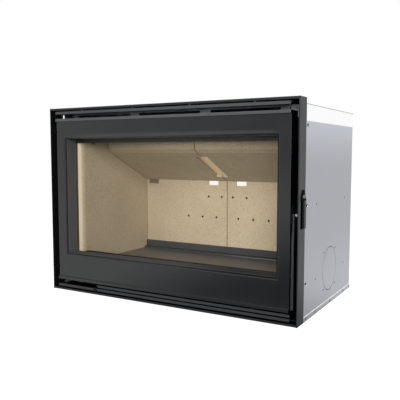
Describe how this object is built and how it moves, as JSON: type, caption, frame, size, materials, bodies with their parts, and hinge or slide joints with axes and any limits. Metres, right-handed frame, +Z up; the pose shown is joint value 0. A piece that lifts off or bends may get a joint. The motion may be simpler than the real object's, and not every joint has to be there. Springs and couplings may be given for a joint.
{
  "type": "fireplace insert",
  "caption": "Built-in wood-burning fireplace insert: glazed side-hung door in a black frame, vermiculite-lined firebox with a sloping baffle, galvanised convection casing, flue collar.",
  "frame": {"origin": "middle of the casing's underside, half way between the front of the frame and the back of the casing", "axes": "+X to the right seen from the front, +Y from the door towards the back, +Z up"},
  "size_m": [0.7977, 0.468, 0.5618],
  "materials": {
    "galvanised_steel": "satin galvanised sheet",
    "frame_paint": "matt black heat-resistant paint",
    "fin_paint": "satin black heat-resistant paint",
    "door_paint": "satin anthracite heat-resistant paint",
    "handle_paint": "satin grey heat-resistant paint",
    "firebox_steel": "mill-scale steel sheet",
    "hearth_iron": "dark satin plate",
    "vermiculite": "pressed vermiculite board, matt",
    "ceramic_glass": "clear ceramic glass",
    "seal_rope": "woven glass-fibre rope",
    "bright_steel": "zinc-plated fastener"
  },
  "bodies": {
    "insert": {"casing_side_right": "galvanised_steel", "casing_side_left": "galvanised_steel", "casing_back": "galvanised_steel", "casing_top": "galvanised_steel", "casing_base": "galvanised_steel", "firebox_support": "galvanised_steel", "frame_left": "frame_paint", "frame_right": "frame_paint", "frame_top": "frame_paint", "frame_bottom": "frame_paint", "keeper_strip": "frame_paint", "air_outlet_plate": "frame_paint", "air_inlet_plate": "frame_paint", "top_fin": "fin_paint", "lower_fin_long": "fin_paint", "lower_fin_short": "fin_paint", "hinge_bracket_lower": "frame_paint", "hinge_bracket_upper": "frame_paint", "keeper_bolt": "bright_steel", "casing_screw_right": "bright_steel", "casing_screw_left": "bright_steel", "hinge_pin_lower": "bright_steel", "hinge_pin_upper": "bright_steel", "firebox_front": "firebox_steel", "firebox_wall_right": "firebox_steel", "firebox_wall_left": "firebox_steel", "firebox_wall_back": "firebox_steel", "firebox_floor": "firebox_steel", "firebox_roof": "firebox_steel", "flue_collar": "firebox_steel", "jet_air_duct": "firebox_steel", "baffle_rest_right": "firebox_steel", "baffle_rest_left": "firebox_steel", "baffle_cover": "firebox_steel", "hearth_plate": "hearth_iron", "hearth_rear_lip": "hearth_iron", "log_guard": "hearth_iron", "lining_clip_right": "firebox_steel", "lining_clip_left": "firebox_steel", "lining_right": "vermiculite", "lining_left": "vermiculite", "lining_back_right": "vermiculite", "lining_back_left": "vermiculite", "baffle_right": "vermiculite", "baffle_left": "vermiculite"},
    "door": {"door_frame": "door_paint", "door_back_plate": "firebox_steel", "glass_gasket": "seal_rope", "door_glass": "ceramic_glass", "glass_rail_top": "firebox_steel", "glass_rail_bottom": "firebox_steel", "door_seal": "seal_rope", "hinge_ear_lower": "door_paint", "hinge_ear_upper": "door_paint", "handle_bracket": "frame_paint", "handle_pivot_bolt": "bright_steel"},
    "handle": {"handle_lever": "handle_paint", "catch_roller": "bright_steel"},
    "air_control": {"air_slide": "firebox_steel", "air_lever": "frame_paint"}
  },
  "joints": [
    {"name": "door_swing", "type": "hinge", "parent": "insert", "child": "door", "pos_m": [-0.379, -0.225, 0.276], "axis": [0, 0, -1], "range_deg": [0, 100]},
    {"name": "handle_pull", "type": "hinge", "parent": "door", "child": "handle", "pos_m": [0.381, -0.2235, 0.27], "axis": [-1, 0, 0], "range_deg": [0, 35]},
    {"name": "air_slide", "type": "slide", "parent": "insert", "child": "air_control", "axis": [-1, 0, 0], "range_m": [0, 0.08]}
  ]
}
